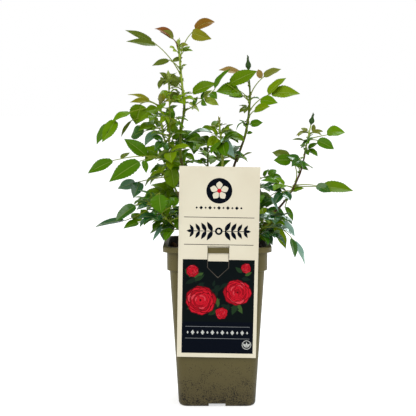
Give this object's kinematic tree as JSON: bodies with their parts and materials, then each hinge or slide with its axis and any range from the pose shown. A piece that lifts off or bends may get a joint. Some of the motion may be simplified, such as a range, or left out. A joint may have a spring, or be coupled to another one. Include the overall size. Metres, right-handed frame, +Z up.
{
  "type": "rose bush in a nursery pot",
  "caption": "Young rose bush with leafy canes and two flower buds, in a square tapered nursery pot with a hanging card label.",
  "frame": {"origin": "middle of the pot's flat underside, which the plant stands on", "axes": "+Z up along the pot's axis and the plant, +X to the right and -Y to the front, where the label hangs"},
  "size_m": [0.3801, 0.2465, 0.5491],
  "materials": {
    "pot_plastic": "taupe injection-moulded plastic, satin",
    "compost": "dark brown potting compost, crumbly",
    "label_card": "cream printed plastic card",
    "green_bark": "smooth green bark, browner towards the foot",
    "brown_bark": "rough brown bark",
    "leaf": "satin green leaves, bronze on the youngest shoots"
  },
  "bodies": {
    "root": {"pot": "pot_plastic", "soil": "compost", "label": "label_card", "trunk": "brown_bark", "cane_tall": "green_bark", "cane_budded": "green_bark", "cane_right": "green_bark", "cane_middle": "green_bark", "cane_rear_left": "green_bark", "cane_left": "green_bark", "cane_low_left": "green_bark", "cane_low_right": "green_bark", "cane_rear": "green_bark", "cane_rear_right": "green_bark", "cane_far_left": "green_bark", "cane_front_left": "green_bark", "cane_front_right": "green_bark", "leaves_tall": "leaf", "leaves_budded": "leaf", "leaves_right": "leaf", "leaves_middle": "leaf", "leaves_rear_left": "leaf", "leaves_left": "leaf", "leaves_low_left": "leaf", "leaves_low_right": "leaf", "leaves_rear": "leaf", "leaves_rear_right": "leaf", "leaves_far_left": "leaf", "leaves_front_left": "leaf", "leaves_front_right": "leaf"}
  },
  "joints": []
}
